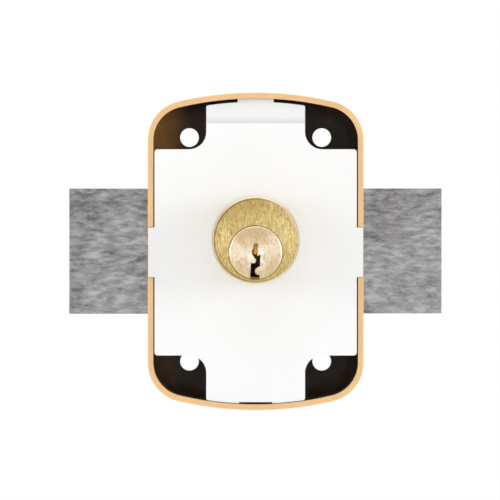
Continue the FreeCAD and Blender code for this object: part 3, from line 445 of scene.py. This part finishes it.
def painted_fans(g, base, middle_z, dull, dull_most, bright, bright_most):
    """Painted fans on a brushed round face: a painted highlight along one line through its middle and painted
    shade to both sides, as turned brass catches the lamps.
    """
    line = (math.cos(FAN_HIGHLIGHT_TILT), 0.0, math.sin(FAN_HIGHLIGHT_TILT))
    along = g.absolute(g.vector("DOT_PRODUCT", g.outward(0.0, middle_z), line))
    along = g.plus(along, g.span(g.noise(g.position(), 0.35, 2.0, 0.5), 0.35, 0.65, -0.12, 0.12))
    on_face = g.on_face()
    base = g.mix(g.times(g.span(along, 0.92, 0.70, to_high=dull_most), on_face), base, dull)
    return g.mix(g.times(g.span(along, 0.85, 1.0, to_high=bright_most), on_face), base, bright)


def barrel_brass():
    """The barrel's brass, with painted shade at the upper left of its face.

    Its rim's chamfer has a painted highlight with a painted dark line of shade on each side, and a third line,
    a painted shadow, runs round the plug.
    """
    g = new_finish("barrel_brass")
    base = brushed_brass(g, BRASS, BRASS_LIGHT, BRASS_DARK, BARREL_TILTS, TURNED_BRASS, TURNED_BRASS_LIGHT)
    across, _, up = g.split(g.position())
    to_rim = g.distance(0.0, 0.0)
    on_flat = g.span(g.facing(), 0.97, 0.995)
    # Painted shade on the upper left of the barrel's face
    shade_towards_upper_left = g.minus(g.times(up, 0.8), g.times(across, 0.6))
    base = g.mix(g.times(g.span(shade_towards_upper_left, 4.5, 9.0, to_high=0.3), on_flat), base, BRASS_DARK)
    # Painted fans of highlight and shade on the barrel's face
    base = painted_fans(g, base, 0.0, BRASS_DARK, 0.28, BRASS_LIGHT, 0.22)

    # A painted line of shade inside the chamfer, darker on the left
    line = g.span(to_rim, BARREL_FACE_RADIUS - 0.6, BARREL_FACE_RADIUS - 0.3)
    base = g.mix(g.times(line, on_flat, g.span(across, 8.0, -6.0, 0.15, 0.7)), base, BRASS_LINE_SHADE)

    # A painted shadow in the seam round the plug, darker on the left
    seam_shadow = g.span(g.distance(0.0, HUB_Z), PLUG_RIM_RADIUS + 0.32, PLUG_RIM_RADIUS + 0.08)
    base = g.mix(g.times(seam_shadow, on_flat, g.span(across, 5.0, -3.0, 0.6, 0.95)), base, SEAM_SHADOW)

    # A painted highlight on the chamfer
    chamfer = g.bevelled()
    base = g.mix(g.times(chamfer, 0.92), base, CHAMFER_HIGHLIGHT)
    # A painted dark line of shade at the chamfer's outer edge, at the left and right
    outline_shade = g.span(to_rim, BARREL_RADIUS - 0.22, BARREL_RADIUS - 0.1)
    at_sides = g.span(g.absolute(across), 5.0, 9.0, to_high=0.8)
    g.set(Base_Color=g.mix(g.times(outline_shade, chamfer, at_sides), base, OUTLINE_SHADE))
    return g.owner


def plug_brass():
    """The plug's paler brass, pale at its edge and round the keyway, partly rubbed by years of keys and partly
    a painted highlight, with painted shade towards the top.
    """
    g = new_finish("plug_brass")
    base = brushed_brass(g, PALE_BRASS, PALE_BRASS_LIGHT, PALE_BRASS_DARK, PLUG_TILTS,
                         PALE_BRASS_DARK, shade(PALE_BRASS, 0.88))
    across, _, height = g.split(g.position())
    up = g.minus(height, HUB_Z)
    # Painted shade towards the top of the plug's face
    base = g.mix(g.span(up, 2.6, 4.6, to_high=0.35), base, PALE_BRASS_DARK)
    # Painted fans of highlight and shade on the plug's face
    base = painted_fans(g, base, HUB_Z, PALE_BRASS_DULL, 0.42, PALE_BRASS_LIGHT, 0.42)

    # Paler beside the keyway: partly rubbed by keys, partly a painted highlight
    beside_slot = g.span(g.absolute(g.minus(across, KEYWAY_X)), 3.6, 1.0)
    by_slot = g.times(g.span(up, 2.6, -0.2), g.span(up, -5.2, -2.4), beside_slot)
    patchy = g.span(g.noise(g.position(), 0.6, 3.0, 0.6), 0.36, 0.56, to_low=0.15)
    base = g.mix(g.times(by_slot, patchy), base, PALE_BRASS_RUBBED_AND_HIGHLIGHT)

    # Paler on the edge: partly rubbed, partly a painted highlight
    edge = g.span(g.distance(0.0, HUB_Z), PLUG_FACE_RADIUS, PLUG_FACE_RADIUS + 0.1, to_high=0.9)
    g.set(Base_Color=g.mix(g.times(edge, g.span(g.facing(), 0.15, 0.45)), base, PALE_BRASS_EDGE_AND_HIGHLIGHT))
    return g.owner


def two_tones(g, tone, dark, light):
    """The colours of a small metal piece, worn bright on its edges."""
    base = g.mix(g.span(tone, 0.36, 0.64), dark, light)
    return g.mix(g.times(g.worn_edges(0.15), 0.5), base, shade(light, 1.25))


def greased_steel(name, dark, light):
    """Turned steel, browned by old grease where it can be seen through the keyway."""
    g = new_finish(name)
    grain = g.noise(g.stretched(*TURNED), 1.0, 4.0, 0.6)
    _, depth, _ = g.split(g.position())
    grease = g.span(depth, 6.0, 3.0)
    g.set(Base_Color=g.mix(grease, two_tones(g, grain, dark, light), GREASE),
          Metallic=g.span(grease, 0.0, 1.0, 0.95, 0.85),
          Roughness=g.plus(g.span(grain, 0.3, 0.7, 0.40, 0.26), g.span(grease, 0.0, 1.0, to_high=0.15)),
          Normal=g.bump(grain, strength=0.2, depth_mm=0.02))
    return g.owner


def plain_metal(name, dark, light, roughness, streak=PLAIN, metallic=0.95):
    """Machined or plated metal: two tones laid along one direction."""
    g = new_finish(name)
    grain = g.noise(g.stretched(*streak), 1.0, 4.0, 0.6)
    cloud = g.noise(g.position(), 0.35, 3.0, 0.6)
    tone = g.plus(g.times(grain, 0.6), g.times(cloud, 0.4))
    g.set(Base_Color=two_tones(g, tone, dark, light), Metallic=metallic,
          Roughness=g.span(grain, 0.3, 0.7, roughness + 0.08, roughness - 0.06),
          Normal=g.bump(grain, strength=0.2, depth_mm=0.02))
    return g.owner


def make_materials():
    """Every finish, by the record's slot name."""
    return {
        "case_lacquer": lacquer("case_lacquer", GOLD, GOLD_WEAR_AND_HIGHLIGHT, RIM_INNER_SHADE),
        "knob_lacquer": lacquer("knob_lacquer", shade(GOLD, 0.96), GOLD_WEAR_AND_HIGHLIGHT),
        "plate_enamel": enamel(),
        "bolt_steel": rolled_steel(),
        "zinc_steel": greased_steel("zinc_steel", ZINC_DARK, ZINC),
        "machined_steel": greased_steel("machined_steel", MACHINED_DARK, MACHINED),
        "spring_steel": plain_metal("spring_steel", SPRING_DARK, SPRING, 0.30),
        "screw_steel": plain_metal("screw_steel", SCREW_DARK, SCREW, 0.28, SCREW_GRAIN),
        "barrel_brass": barrel_brass(),
        "plug_brass": plug_brass(),
        "pin_brass": plain_metal("pin_brass", PIN_BRASS_DARK, PIN_BRASS, 0.36, TURNED_UPRIGHT, 0.85),
        "bush_brass": plain_metal("bush_brass", BUSH_BRASS_DARK, BUSH_BRASS, 0.30, TURNED),
    }


def dress(materials):
    """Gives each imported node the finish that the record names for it."""
    for part in frame["record"]["subparts"]:
        mesh = NODES[part["node"]].data
        mesh.materials.clear()
        mesh.materials.append(materials[part["material_slot"]])


def within(limit, value):
    """The value, held between minus the limit and the limit."""
    return max(-limit, min(limit, value))


def looks_into_cavity(face):
    """Whether a face of the shell turns towards the core of its cavity, and isn't on its rim or outside."""
    place = Vector(face.center) * PER_MM
    core = Vector((within(CORE_HALF_WIDTH, place.x), CAVITY_MIDDLE_Y,
                   HUB_Z + within(CORE_HALF_HEIGHT, place.z - HUB_Z)))
    looks_in = face.normal.dot(core - place) > HAIR
    on_rim = place.y < HAIR
    outside = abs(place.x) > CAVITY_HALF_WIDTH + HAIR or place.y > CAVITY_DEPTH + HAIR
    return looks_in and not on_rim and not outside


def paint_cavity_shade(inside):
    """Puts the painted shade on every face of the shell that looks into its cavity."""
    mesh = NODES["case_shell"].data
    mesh.materials.append(inside)
    for face in mesh.polygons:
        if looks_into_cavity(face):
            face.material_index = 1


def squeeze_springs():
    """Gives each pin spring that the record lists as deforming a mesh of its own."""
    for joint in frame["record"]["behaviour"]["joints"]:
        for spring in joint.get("deforming_nodes", []):
            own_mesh(NODES[spring["node"]])


# Stage, lamps and camera: lengths are in metres, apart from the camera's aim and its sensor

AMBIENT = 0.75
FLOOR_Z = -0.080
FLOOR_RADIUS = 6.0
FLOOR_SIDES = 96
FLOOR_COLOUR = (0.97, 0.97, 0.97)
FADES_FROM = 0.18
FADES_TO = 0.55


def floor_finish():
    """A pale surface that fades, further out, to plain white for the camera and in reflections."""
    g = new_finish("floor")
    g.set(Base_Color=FLOOR_COLOUR, Roughness=0.9, Specular_IOR_Level=0.1)
    x, y, _ = g.split(g.node("ShaderNodeTexCoord").outputs["Object"])
    white = g.node("ShaderNodeEmission")
    g.feed(white.inputs["Color"], WHITE)
    g.feed(white.inputs["Strength"], 1.0)
    shown = g.node("ShaderNodeMixShader")
    g.feed(shown.inputs[0], g.times(g.seen_directly(), g.span(g.length(x, y), FADES_FROM, FADES_TO)))
    g.feed(shown.inputs[1], g.shader.outputs[0])
    g.feed(shown.inputs[2], white.outputs[0])
    g.feed(g.tree.nodes["Material Output"].inputs["Surface"], shown.outputs[0])
    return g.owner


def make_floor():
    """A round floor, which keeps the soft shadow near the lock."""
    turns = [i * math.tau / FLOOR_SIDES for i in range(FLOOR_SIDES)]
    ring = [(FLOOR_RADIUS * math.cos(turn), FLOOR_RADIUS * math.sin(turn), FLOOR_Z) for turn in turns]
    mesh = bpy.data.meshes.new("floor")
    mesh.from_pydata(ring, [], [tuple(range(FLOOR_SIDES))])
    mesh.materials.append(floor_finish())
    floor = bpy.data.objects.new("floor", mesh)
    bpy.context.scene.collection.objects.link(floor)


def make_world():
    """White in view and in reflections, and a softer light on dull surfaces."""
    world = bpy.data.worlds.new("studio")
    bpy.context.scene.world = world
    g = Graph(world, "Background")
    g.set(Color=WHITE, Strength=g.span(g.seen_directly(), 0.0, 1.0, to_low=AMBIENT))


def make_lamp(name, place, size, power):
    """A square soft box that looks at the lock."""
    lamp = bpy.data.lights.new(name, "AREA")
    lamp.shape = "SQUARE"
    lamp.size = size
    lamp.energy = power
    aim = Vector((0.0, 0.0, HUB_Z * MM)) - Vector(place)
    holder = bpy.data.objects.new(name, lamp)
    holder.location = place
    holder.rotation_euler = aim.to_track_quat("-Z", "Y").to_euler()
    bpy.context.scene.collection.objects.link(holder)


def make_lamps():
    """Two lamps from the sides and one from above light the door side, and three the room side."""
    make_lamp("key", (1.8, -1.8, 0.1), size=1.4, power=19.5)
    make_lamp("fill", (-1.8, -1.8, 0.1), size=1.4, power=14.5)
    make_lamp("over", (0.0, -1.9, 1.8), size=1.4, power=3.0)
    make_lamp("top", (0.0, 0.9, 1.7), size=1.0, power=4.0)
    make_lamp("back_key", (-1.1, 1.7, 0.9), size=1.0, power=7.0)
    make_lamp("back_fill", (1.5, 1.4, 0.3), size=1.2, power=3.0)


# The photograph's frame, as if taken from far off and a touch above: 500 pixels of 0.255 mm at the rim
PHOTO_WIDTH = 0.1275
CAMERA_DISTANCE = 2.5
CAMERA_RISE = math.radians(0.6)
SENSOR = 36.0
LOOK_X = -1.44
LOOK_Z = -2.74


def make_camera():
    """The camera looks at (LOOK_X, LOOK_Z), in millimetres, on the plane of the rim."""
    camera = bpy.data.cameras.new("camera")
    camera.sensor_width = SENSOR
    camera.lens = SENSOR * CAMERA_DISTANCE / PHOTO_WIDTH
    camera.clip_start = 0.1
    camera.clip_end = 30.0
    holder = bpy.data.objects.new("camera", camera)
    holder.location = (LOOK_X * MM, -CAMERA_DISTANCE * math.cos(CAMERA_RISE),
                       LOOK_Z * MM + CAMERA_DISTANCE * math.sin(CAMERA_RISE))
    holder.rotation_euler = (math.radians(90.0) - CAMERA_RISE, 0.0, 0.0)
    bpy.context.scene.collection.objects.link(holder)
    bpy.context.scene.camera = holder


bpy.context.scene.view_settings.view_transform = "Standard"
dress(make_materials())
paint_cavity_shade(case_inside_painted_shade())
squeeze_springs()
make_floor()
make_world()
make_lamps()
make_camera()
